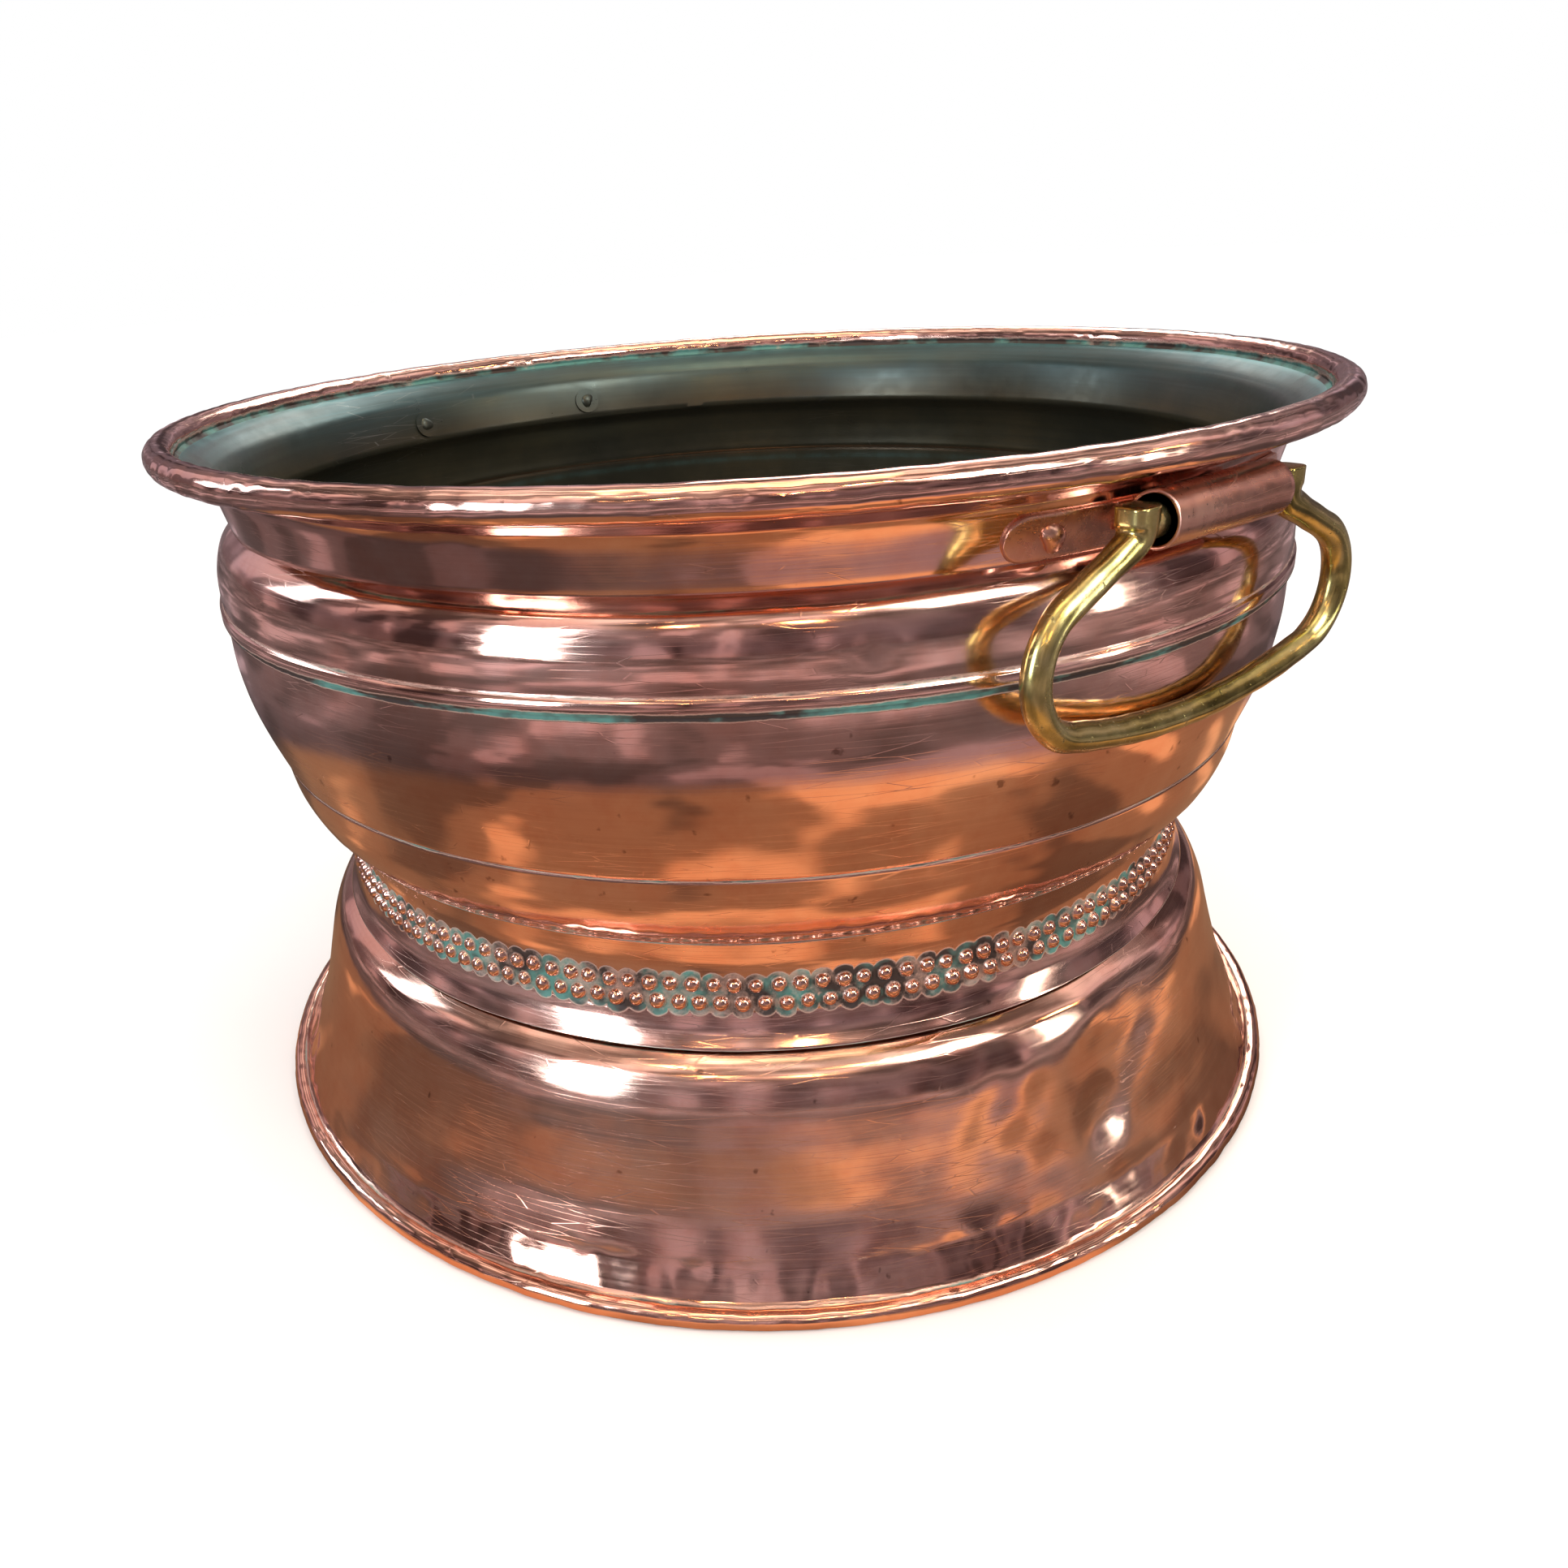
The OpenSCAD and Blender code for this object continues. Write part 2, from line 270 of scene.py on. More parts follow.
def shell(name, outer, shape, materials, seams, segments=720,
          below=None, above=None, roll=None, hollows=None):
    """A turned sheet with thickness: the outer line, an optional roll below or above it, and the inner side.

    Each seam that gathers tarnish is (radius, height, width, strength), and hollows adds tarnish of its own,
    which is partly painted shade.
    """
    out = normals(outer)
    inner = outer - SHEET * out
    inner[:, 0] = np.maximum(inner[:, 0], 0)
    none = np.zeros((0, 2))
    below = none if below is None else below
    above = none if above is None else above
    ring = np.array(roll[:2] if roll else (0, 0))
    away = [(p - ring) / np.linalg.norm(p - ring, axis=1)[:, None] for p in (below, above)]
    loop = np.concatenate([below, outer, above, inner[::-1]])
    source = np.concatenate([below, outer, above, outer[::-1]])
    outwards = np.concatenate([away[0], out, away[1], out[::-1]])
    plain = np.zeros(len(outer))
    rolled = np.concatenate([np.ones(len(below)), plain, np.ones(len(above)), plain])

    turn = np.arange(segments) * 2 * math.pi / segments
    unit = np.array([WIDE * MM, TALL * MM])

    def turned(points):
        points = points * unit
        flat = np.outer(np.ones(segments), points[:, 0])
        return np.stack([flat * np.cos(turn)[:, None], flat * np.sin(turn)[:, None],
                         np.outer(np.ones(segments), points[:, 1])], -1)

    base = turned(source)
    amount = np.where(rolled[None, :] > 0, roll_shape(base), shape(base))
    amount *= np.clip(source[:, 0] / 60, 0, 1)[None, :]
    across = [np.outer(np.cos(turn), outwards[:, 0]), np.outer(np.sin(turn), outwards[:, 0])]
    direction = np.stack([*across, np.outer(np.ones(segments), outwards[:, 1])], -1)
    points = turned(loop) + amount[..., None] * direction
    points[..., 2] = np.maximum(points[..., 2], 0)

    n = len(loop)
    i, k = np.meshgrid(np.arange(segments), np.arange(n), indexing="ij")
    after, next_k = (i + 1) % segments, (k + 1) % n
    faces = np.stack([i * n + k, after * n + k, after * n + next_k, i * n + next_k], -1).reshape(-1, 4)
    length = np.concatenate([[0], np.cumsum(np.linalg.norm(np.diff(loop, axis=0), axis=1))]) * MM
    uv = np.stack(np.broadcast_arrays(turn[:, None], length[None, :]), -1).reshape(-1, 2)
    inside = k >= len(below) + len(outer) + len(above)
    near = np.zeros(n)
    for r, z, width, strength in seams:
        far = np.hypot(loop[:, 0] - r, loop[:, 1] - z) / width
        near = np.maximum(near, strength * np.exp(-(far**2)))
    # Tarnish mask: the seams' tarnish, and the bead hollows' tarnish that is partly painted shade.
    grime_and_shade = np.tile(near, segments)
    if hollows is not None:
        grime_and_shade = np.maximum(grime_and_shade, hollows(base).reshape(-1) * ~np.tile(inside[0], segments))
    on_axis = loop[:, 0] < 1e-6
    if on_axis.any():
        faces, strip = drop_axis(faces, inside.reshape(-1), on_axis, n)
    else:
        strip = inside.reshape(-1)
    return finish_mesh(name, points.reshape(-1, 3), faces, materials, strip, uv, grime_and_shade)


def drop_axis(faces, inside, on_axis, n):
    """Takes out the faces that shrink to a line on the axis."""
    gone = on_axis[faces % n].all(1)
    return faces[~gone], inside[~gone]


def skin(name, rings, materials, second_from=None):
    """A closed skin over a row of rings, capped at both ends.

    The rings from number second_from on use the second material.
    """
    rings = np.array(rings)
    count, n = rings.shape[:2]
    i, k = np.meshgrid(np.arange(count - 1), np.arange(n), indexing="ij")
    next_k = (k + 1) % n
    faces = np.stack([i * n + k, i * n + next_k, (i + 1) * n + next_k, (i + 1) * n + k], -1).reshape(-1, 4)
    caps = np.array([rings[0].mean(0), rings[-1].mean(0)])
    vertices = np.concatenate([rings.reshape(-1, 3), caps])
    ends = []
    for k in range(0, n, 2):
        ends.append((count * n, (k + 2) % n, (k + 1) % n, k))
        last = (count - 1) * n
        ends.append((count * n + 1, last + k, last + (k + 1) % n, last + (k + 2) % n))
    strip = None
    if second_from is not None:
        strip = np.concatenate([i.reshape(-1) >= second_from, np.arange(n) % 2 == 1])
    return finish_mesh(name, vertices, np.concatenate([faces, ends]), materials, strip)


# ---------------------------------------------------------------- materials


def node(tree, kind, inputs=None, **settings):
    """A shader node; each input is a socket to link or a value to set."""
    made = tree.nodes.new("ShaderNode" + kind)
    for key, value in settings.items():
        setattr(made, key, value)
    for key, value in (inputs or {}).items():
        if isinstance(value, bpy.types.NodeSocket):
            tree.links.new(value, made.inputs[key])
        else:
            made.inputs[key].default_value = value
    return made


def ramp(tree, factor, *stops):
    """A colour ramp; each stop is (position, colour or grey value)."""
    made = node(tree, "ValToRGB", {"Fac": factor})
    elements = made.color_ramp.elements
    while len(elements) < len(stops):
        elements.new(0.5)
    for element, (position, colour) in zip(elements, stops):
        element.position = position
        element.color = (*colour, 1) if isinstance(colour, tuple) else (colour, colour, colour, 1)
    return made.outputs["Color"]


def noise(tree, vector, scale, detail=4, roughness=0.55):
    """Cloudy noise from 0 to 1."""
    inputs = {"Vector": vector, "Scale": scale, "Detail": detail, "Roughness": roughness}
    return node(tree, "TexNoise", inputs).outputs["Fac"]


def maths(tree, operation, a, b=0.0):
    """One sum on two values."""
    return node(tree, "Math", {0: a, 1: b}, operation=operation).outputs[0]


def mixed(tree, factor, a, b, blend="MIX"):
    """Colour a at factor 0 and colour b at factor 1."""
    made = node(tree, "Mix", {"Factor": factor}, data_type="RGBA", blend_type=blend)
    for key, value in ((6, a), (7, b)):
        if isinstance(value, bpy.types.NodeSocket):
            tree.links.new(value, made.inputs[key])
        else:
            made.inputs[key].default_value = (*value, 1)
    return made.outputs[2]


def stretched(tree, vector, scale):
    """A vector with its three directions scaled apart."""
    return node(tree, "Mapping", {"Vector": vector, "Scale": scale}).outputs["Vector"]


def start_material(name, metallic=1.0):
    """A new material, its node tree, its shader and the place on the object."""
    material = bpy.data.materials.new(name)
    material.use_nodes = True
    tree = material.node_tree
    shader = tree.nodes["Principled BSDF"]
    shader.inputs["Metallic"].default_value = metallic
    where = node(tree, "TexCoord").outputs["Object"]
    return material, tree, shader, where


def brushed_lines(tree, where, strength=900):
    """Fine marks that run round the bucket: quick along the outline, slow round it."""
    around = node(tree, "SeparateXYZ", {"Vector": where})
    profile = node(tree, "SeparateXYZ", {"Vector": node(tree, "UVMap", uv_map="Profile").outputs["UV"]})
    x = maths(tree, "MULTIPLY", around.outputs["X"], 9.0)
    y = maths(tree, "MULTIPLY", around.outputs["Y"], 9.0)
    along = maths(tree, "MULTIPLY", profile.outputs["Y"], float(strength))
    vector = node(tree, "CombineXYZ", {"X": x, "Y": y, "Z": along}).outputs["Vector"]
    return noise(tree, vector, 1.0, 5, 0.65)


def scratches(tree, where, scale, turn):
    """Thin lines in one direction, broken up by a mask."""
    width = 0.012
    drawn_out = node(tree, "Mapping", {"Vector": where, "Rotation": turn, "Scale": (1, 1, 14)})
    cells_in = {"Vector": drawn_out.outputs["Vector"], "Scale": scale}
    cells = node(tree, "TexVoronoi", cells_in, feature="DISTANCE_TO_EDGE")
    lines = ramp(tree, cells.outputs["Distance"], (0.0, 1.0), (width, 0.0))
    mask = ramp(tree, noise(tree, where, scale * 0.4, 3), (0.52, 0.0), (0.66, 1.0))
    return maths(tree, "MULTIPLY", lines, mask)


def add_bump(tree, shader, heights):
    """Chains bumps; each height is (socket, strength)."""
    normal = None
    for height, strength in heights:
        inputs = {"Height": height, "Strength": strength, "Distance": BUMP_DEPTH}
        if normal is not None:
            inputs["Normal"] = normal
        normal = node(tree, "Bump", inputs).outputs["Normal"]
    tree.links.new(normal, shader.inputs["Normal"])


def copper(name, light, deep, gloss=(0.06, 0.17), turned=True):
    """Worn polished copper: colour clouds, brushing, scratches, and dark and teal tarnish along the seams and
    between the beads, partly painted shade in the bead hollows.
    """
    material, tree, shader, where = start_material(name)
    clouds = noise(tree, where, 9.0, 5, 0.6)
    small = noise(tree, where, 60.0, 6, 0.7)
    colour = ramp(tree, clouds, (0.34, deep), (0.66, light))
    colour = mixed(tree, ramp(tree, small, (0.45, 0.0), (0.8, 0.45)), colour, deep, "MULTIPLY")
    if turned:
        streaks = brushed_lines(tree, where)
    else:
        streaks = noise(tree, stretched(tree, where, (60, 400, 400)), 1.0, 4)
    colour = mixed(tree, ramp(tree, streaks, (0.3, 0.10), (0.6, 0.0)), colour, (0.30, 0.14, 0.10))
    spots = ramp(tree, noise(tree, where, 170.0, 3, 0.5), (0.70, 0.0), (0.76, 0.6))
    colour = mixed(tree, spots, colour, (0.16, 0.07, 0.05))

    # Tarnish mask: teal patina and dark joints along the seams; in the hollows between the beads its
    # near-black is painted shade.
    grime_and_shade = node(tree, "Attribute", attribute_name="grime_and_shade").outputs["Fac"]
    broken = maths(tree, "ADD", grime_and_shade, maths(tree, "MULTIPLY", maths(tree, "SUBTRACT", small, 0.5), 0.9))
    dirt_and_shade = ramp(tree, broken, (0.30, 0.0), (0.62, 1.0))
    patches = ramp(tree, noise(tree, where, 38.0, 4, 0.6), (0.47, 0.0), (0.60, 1.0))
    tarnish = mixed(tree, patches, (0.035, 0.022, 0.018), (0.07, 0.20, 0.17))
    colour = mixed(tree, dirt_and_shade, colour, tarnish)
    tree.links.new(colour, shader.inputs["Base Color"])
    bare = maths(tree, "SUBTRACT", 1.0, maths(tree, "MULTIPLY", dirt_and_shade, 0.85))
    tree.links.new(bare, shader.inputs["Metallic"])

    lines = scratches(tree, where, 34.0, (0.4, 0.9, 0.3))
    other = scratches(tree, where, 26.0, (1.3, 0.2, 1.1))
    wear = maths(tree, "MAXIMUM", lines, other)
    worn = node(tree, "MapRange", {"Value": clouds, "From Min": 0.35, "From Max": 0.7,
                                   "To Min": gloss[0], "To Max": gloss[1]}).outputs["Result"]
    uneven = maths(tree, "MULTIPLY", maths(tree, "SUBTRACT", streaks, 0.5), 0.16)
    rough = maths(tree, "ADD", worn, uneven)
    rough = maths(tree, "ADD", rough, maths(tree, "MULTIPLY", wear, 0.15))
    dull = maths(tree, "MULTIPLY", dirt_and_shade, 0.5)
    rough = node(tree, "Math", {0: rough, 1: dull}, operation="ADD", use_clamp=True)
    tree.links.new(rough.outputs[0], shader.inputs["Roughness"])
    shader.inputs["Anisotropic"].default_value = 0.45 if turned else 0.0
    if turned:
        tangent = node(tree, "Tangent", direction_type="RADIAL", axis="Z").outputs["Tangent"]
        tree.links.new(tangent, shader.inputs["Tangent"])
    soft = noise(tree, where, 55.0, 2, 0.5)
    add_bump(tree, shader, [(soft, 0.5), (streaks, 0.05), (wear, 0.12), (dirt_and_shade, 0.25)])
    return material


def tinned(name):
    """The old tinned inside: grey-olive, worn to brown in places and bluish under the rim."""
    material, tree, shader, where = start_material(name, 0.75)
    clouds = noise(tree, where, 7.0, 6, 0.6)
    fine = noise(tree, where, 90.0, 5, 0.7)
    rings = brushed_lines(tree, where, 420)
    colour = ramp(tree, clouds, (0.30, (0.030, 0.036, 0.032)), (0.52, (0.075, 0.070, 0.045)),
                  (0.72, (0.14, 0.11, 0.06)))
    high = node(tree, "SeparateXYZ", {"Vector": where}).outputs["Z"]
    band = node(tree, "MapRange", {"Value": high, "From Min": 0.236, "From Max": 0.258,
                                   "To Min": 0.0, "To Max": 1.0}).outputs["Result"]
    band = maths(tree, "MULTIPLY", band, ramp(tree, noise(tree, where, 11.0, 4), (0.32, 0.45), (0.6, 1.0)))
    colour = mixed(tree, band, colour, (0.06, 0.13, 0.14))
    colour = mixed(tree, ramp(tree, rings, (0.35, 0.35), (0.65, 0.0)), colour, (0.05, 0.05, 0.04))
    grime_and_shade = node(tree, "Attribute", attribute_name="grime_and_shade").outputs["Fac"]
    colour = mixed(tree, maths(tree, "MULTIPLY", grime_and_shade, ramp(tree, fine, (0.35, 0.3), (0.6, 0.9))), colour,
                   (0.10, 0.30, 0.30))
    marks = scratches(tree, where, 22.0, (0.2, 1.2, 0.5))
    colour = mixed(tree, maths(tree, "MULTIPLY", marks, 0.35), colour, (0.45, 0.45, 0.40))
    tree.links.new(colour, shader.inputs["Base Color"])
    rough = maths(tree, "ADD", 0.34, maths(tree, "MULTIPLY", maths(tree, "SUBTRACT", fine, 0.5), 0.35))
    tree.links.new(rough, shader.inputs["Roughness"])
    add_bump(tree, shader, [(noise(tree, where, 35.0, 3), 0.7), (rings, 0.15), (fine, 0.12)])
    return material


def brass(name):
    """Cast brass: yellow with greenish shade, pitted, polished by hands along its length."""
    material, tree, shader, where = start_material(name)
    clouds = noise(tree, where, 45.0, 4, 0.6)
    fine = noise(tree, where, 420.0, 5, 0.7)
    colour = ramp(tree, clouds, (0.32, (0.33, 0.28, 0.075)), (0.5, (0.54, 0.47, 0.17)),
                  (0.70, (0.64, 0.59, 0.29)))
    pits = ramp(tree, noise(tree, where, 520.0, 3, 0.6), (0.66, 0.0), (0.74, 1.0))
    colour = mixed(tree, maths(tree, "MULTIPLY", pits, 0.8), colour, (0.06, 0.045, 0.02))
    dull = ramp(tree, noise(tree, where, 24.0, 5, 0.7), (0.56, 0.0), (0.74, 0.75))
    colour = mixed(tree, dull, colour, (0.24, 0.21, 0.09))
    tree.links.new(colour, shader.inputs["Base Color"])
    rough = node(tree, "MapRange", {"Value": clouds, "From Min": 0.3, "From Max": 0.7,
                                    "To Min": 0.13, "To Max": 0.30})
    rough = maths(tree, "ADD", rough.outputs["Result"], maths(tree, "MULTIPLY", dull, 0.16))
    rough = maths(tree, "ADD", rough, maths(tree, "MULTIPLY", pits, 0.25))
    tree.links.new(rough, shader.inputs["Roughness"])
    add_bump(tree, shader, [(noise(tree, where, 160.0, 3), 0.35), (fine, 0.12),
                            (maths(tree, "SUBTRACT", 1.0, pits), 0.5)])
    return material


def plain_metal(name, dark, light, rough, metallic=0.9):
    """Drawn wire and dull solder: a mottled grey metal."""
    material, tree, shader, where = start_material(name, metallic)
    spots = noise(tree, where, 120.0, 5, 0.65)
    tree.links.new(ramp(tree, spots, (0.35, dark), (0.65, light)), shader.inputs["Base Color"])
    rougher = maths(tree, "ADD", rough, maths(tree, "MULTIPLY", maths(tree, "SUBTRACT", spots, 0.5), 0.3))
    tree.links.new(rougher, shader.inputs["Roughness"])
    add_bump(tree, shader, [(spots, 0.4)])
    return material


BODY_COPPER = copper("body_copper", (0.93, 0.65, 0.54), (0.80, 0.46, 0.35))
FOOT_COPPER = copper("foot_copper", (0.92, 0.62, 0.49), (0.78, 0.42, 0.30))
PLATE_COPPER = copper("plate_copper", (0.85, 0.52, 0.40), (0.64, 0.32, 0.22), (0.20, 0.36), turned=False)
UNDER_COPPER = copper("under_copper", (0.42, 0.22, 0.14), (0.20, 0.10, 0.07), (0.38, 0.60))
TINNED = tinned("tinned_inside")
BRASS = brass("cast_brass")
IRON = plain_metal("iron_wire", (0.05, 0.045, 0.04), (0.16, 0.13, 0.11), 0.55)
SOLDER = plain_metal("tin_solder", (0.25, 0.26, 0.25), (0.50, 0.51, 0.49), 0.45)


# ---------------------------------------------------------------- pieces


def stands_for(piece, node_name, body):
    """Puts a piece on its body in place of the CAD node."""
    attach(piece, body)
    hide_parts(node_name)


def make_bucket():
    """The four copper sheets, with tarnish along their seams."""
    rim = np.concatenate([[(205.4, 256.75)], arc(RIM_RING, 237, 556, 44)])
    upper = shell("upper_bowl_sheet", UPPER, bowl_shape, [BODY_COPPER, TINNED],
                  [(205.6, 256.6, 1.5, 1.0), (201, 203.2, 0.9, 0.9), (199.8, 208.1, 0.7, 0.55),
                   (204.6, 258.2, 2.5, 0.8), (191.7, 233.4, 0.7, 0.25)],
                  above=rim, roll=RIM_RING)
    lower = shell("lower_bowl_sheet", LOWER, bowl_shape, [BODY_COPPER, TINNED],
                  [(199.5, 202.4, 1.3, 1.0), (176.5, 121.0, 1.8, 1.0), (189.1, 149.0, 0.7, 0.6)])
    collar = shell("collar_sheet", COLLAR, collar_shape, [BODY_COPPER, UNDER_COPPER],
                   [(171.9, 118.4, 1.0, 1.0), (174.6, 80.6, 0.5, 0.7)],
                   segments=12 * BEADS_PER_ROW, hollows=collar_hollows)
    base = arc(BASE_RING, 190, 480, 30)
    skirt = shell("skirt_sheet", SKIRT, skirt_shape, [FOOT_COPPER, UNDER_COPPER],
                  [(173.0, 80.6, 0.9, 1.0), (200.2, 16.6, 0.9, 0.6), (206.2, 6.0, 0.8, 0.8)],
                  segments=900, below=base, roll=BASE_RING)
    sheets = {"upper_bowl": upper, "lower_bowl": lower, "foot_collar": collar, "foot_skirt": skirt}
    for name, piece in sheets.items():
        stands_for(piece, name, "bucket")


PLATE_Z = SHOULDER[1] + 6.8
PLATE_HALF = 61.5
PLATE_H = 13.0
PLATE_T = 1.2
BARREL_HALF = 26.0
BARREL_R = 8.0
RIVET_ANGLE = 13.8
RIVET_OUTER_RINGS = 7
BAR_R = 4.3
LUG_WIDE = 5.2
LUG_DEEP = 4.8
LUG_REACH = 9.0
HINGE_R = JOINT["pos_m"][0] / MM
HINGE_Z = JOINT["pos_m"][2] / MM
LEAN = math.atan2(NECK_TOP[0] - SHOULDER[0], NECK_TOP[1] - SHOULDER[1])


def plate_rings():
    """Cross-sections of the hinge plate, from one round end to the other."""
    end = PLATE_HALF - PLATE_H / 2
    rings = []
    for s in PLATE_HALF * np.sin(np.radians(np.linspace(-89.4, 89.4, 110))):
        half = PLATE_H / 2 * math.sqrt(max(1 - (max(abs(s) - end, 0) / (PLATE_H / 2)) ** 2, 0.0016))
        across = half * np.sin(np.radians(np.linspace(-90, 90, 15)))
        edge = np.clip((half - np.abs(across)) / 0.5, 0, 1) * min(1, (PLATE_HALF - abs(s)) / 0.3 + 0.1)
        lift = 0.05 + PLATE_T * (0.45 + 0.55 * np.sqrt(np.clip(1 - (1 - edge) ** 2, 0, 1)))
        lift += 0.10 * np.sin(s * 0.31 + across * 0.5) * edge * math.sin(s * 0.11)
        ring = []
        for v, rise in list(zip(across, lift)) + [(v, 0.02) for v in across[::-1]]:
            z = PLATE_Z + v
            r = neck_r(z) + rise
            ring.append((r * math.cos(s / neck_r(PLATE_Z)), r * math.sin(s / neck_r(PLATE_Z)), z))
        rings.append(ring)
    return np.array(rings) * MM


def barrel_rings():
    """The rolled barrel with its tail on the plate: along the outside, round the end, and back inside."""
    phi = np.radians(np.arange(0, 360, 4))
    gap = HINGE_R - neck_r(HINGE_Z) - PLATE_T
    facing = np.cos(phi) + np.sin(phi) * -math.tan(LEAN)
    reach = np.where(facing < -0.2, gap / np.maximum(-facing, 0.2), BARREL_R)
    height = reach * np.sin(phi)
    tail = (np.cos(phi) < 0) & (height < 4.5) & (height > -6.5)
    outer = np.where(tail, np.maximum(reach, BARREL_R), BARREL_R)
    bore = BARREL_R - PLATE_T
    rows = [(y, outer) for y in np.linspace(-BARREL_HALF + 0.4, BARREL_HALF - 0.4, 30)]
    rows += [(BARREL_HALF - 0.1, outer - 0.12), (BARREL_HALF, outer - 0.4), (BARREL_HALF, bore + 0.3)]
    rows += [(BARREL_HALF - 0.2, bore + 0.05)]
    rows += [(y, bore + 0 * outer) for y in np.linspace(BARREL_HALF - 0.6, -BARREL_HALF + 0.6, 12)]
    rows += [(-BARREL_HALF + 0.2, bore + 0.05), (-BARREL_HALF, bore + 0.3), (-BARREL_HALF, outer - 0.4)]
    rows += [(-BARREL_HALF + 0.1, outer - 0.12)]
    rings = []
    for y, size in rows:
        size = size * np.ones(len(phi))
        worn = 0.06 * np.sin(y * 0.35 + 2 * phi) * np.sin(y * 0.12 + phi)
        size = np.where(size > bore + 0.1, size - 0.06 + worn, size)
        rings.append(np.stack([HINGE_R + size * np.cos(phi), y + 0 * phi, HINGE_Z + size * np.sin(phi)], 1))
    return np.array(rings) * MM


def bail_route():
    """The bail's middle line from the middle of the grip up to one lug: u goes sideways and v goes down."""
    bend_r, neck_r_in, lug_u, bend_u, lean = 19.0, 6.0, 33.0, 50.5, math.radians(14)
    grip_r = bend_u / math.sin(lean) + bend_r
    drop = cad_low_of_handle() - BAR_R
    bend_v = drop - bend_r * math.cos(lean) - grip_r * (1 - math.cos(lean))
    step = bend_u - lug_u - neck_r_in
    turn = math.asin((bend_r + neck_r_in) / math.hypot(bend_v, step)) + math.atan(step / bend_v)
    route = [(grip_r * math.sin(a), drop - grip_r * (1 - math.cos(a))) for a in np.linspace(0, lean, 28)]
    route += [(bend_u + bend_r * math.sin(a), bend_v + bend_r * math.cos(a))
              for a in np.linspace(lean, math.pi / 2 + turn, 40)[1:]]
    neck = np.array([lug_u + neck_r_in * (1 - math.cos(turn)), neck_r_in * math.sin(turn)])
    route += [tuple(route[-1] + (neck - route[-1]) * t) for t in np.linspace(0, 1, 14)[1:]]
    route += [(lug_u + neck_r_in * (1 - math.cos(a)), neck_r_in * math.sin(a))
              for a in np.linspace(turn, 0, 16)[1:]]
    route += [(lug_u, v) for v in (-1.2, -2.4, -3.4, -4.2, -4.7, -4.95, -5.0)]
    return np.array(route)


def cad_low_of_handle():
    """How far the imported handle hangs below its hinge, in millimetres."""
    return HINGE_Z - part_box("handle_right")[0].z / MM


def bail_rings():
    """Egg-shaped sections along the bail, turning squarer and wider at each lug."""
    half = bail_route()
    route = np.concatenate([half[::-1] * (-1, 1), half[1:]])
    way = np.gradient(route, axis=0)
    way /= np.linalg.norm(way, axis=1)[:, None]
    side = np.stack([-way[:, 1], way[:, 0]], 1)
    last = len(route) - 1
    phi = np.radians(np.arange(0, 360, 9))
    rings = []
    for i, (u, v) in enumerate(route):
        lug = float(np.clip((LUG_REACH - v) / LUG_REACH, 0, 1)) ** 1.5
        worn = 0.10 * math.sin(u * 0.21) + 0.07 * math.sin(u * 0.63 + 1)
        wide = (BAR_R + worn) * (1 - lug) + LUG_WIDE * lug
        deep = (BAR_R - 0.1 + 0.5 * worn) * (1 - lug) + LUG_DEEP * lug
        if i in (0, last):
            wide, deep = wide - 0.5, deep - 0.5
        elif i in (1, last - 1):
            wide, deep = wide - 0.25, deep - 0.25
        power = 2.0 + 1.6 * lug
        c, s = np.cos(phi), np.sin(phi)
        size = (np.abs(c) ** power + np.abs(s) ** power) ** (-1 / power)
        ridge = 1 + 0.055 * np.clip(s, 0, 1) ** 10 * (1 - lug) - 0.03 * np.abs(np.sin(2 * phi)) * (1 - lug)
        along = side[i][None, :] * (wide * size * ridge * c)[:, None]
        out = deep * size * ridge * s
        rings.append(np.stack([HINGE_R + out, u + along[:, 0], HINGE_Z - v - along[:, 1]], 1))
    return np.array(rings) * MM


def peg_rings(end):
    """The peg that turns in the barrel, with a rounded tip."""
    phi = np.radians(np.arange(0, 360, 12))
    rings = []
    stations = [(33, 4.6), (28, 4.7), (24, 4.75), (18, 4.75),
                (16.6, 4.6), (16.1, 4.2), (16.0, 3.2), (16.0, 0.4)]
    for u, r in stations:
        rings.append(np.stack([HINGE_R + r * np.cos(phi), end * u + 0 * phi, HINGE_Z + r * np.sin(phi)], 1))
    return np.array(rings) * MM


def join(name, parts):
    """Several meshes as one piece."""
    with bpy.context.temp_override(active_object=parts[0], selected_editable_objects=parts):
        bpy.ops.object.join()
    parts[0].name = name
    return parts[0]


def to_left(rings):
    """The same sections turned half a turn round the bucket."""
    return rings * np.array([-1, -1, 1])


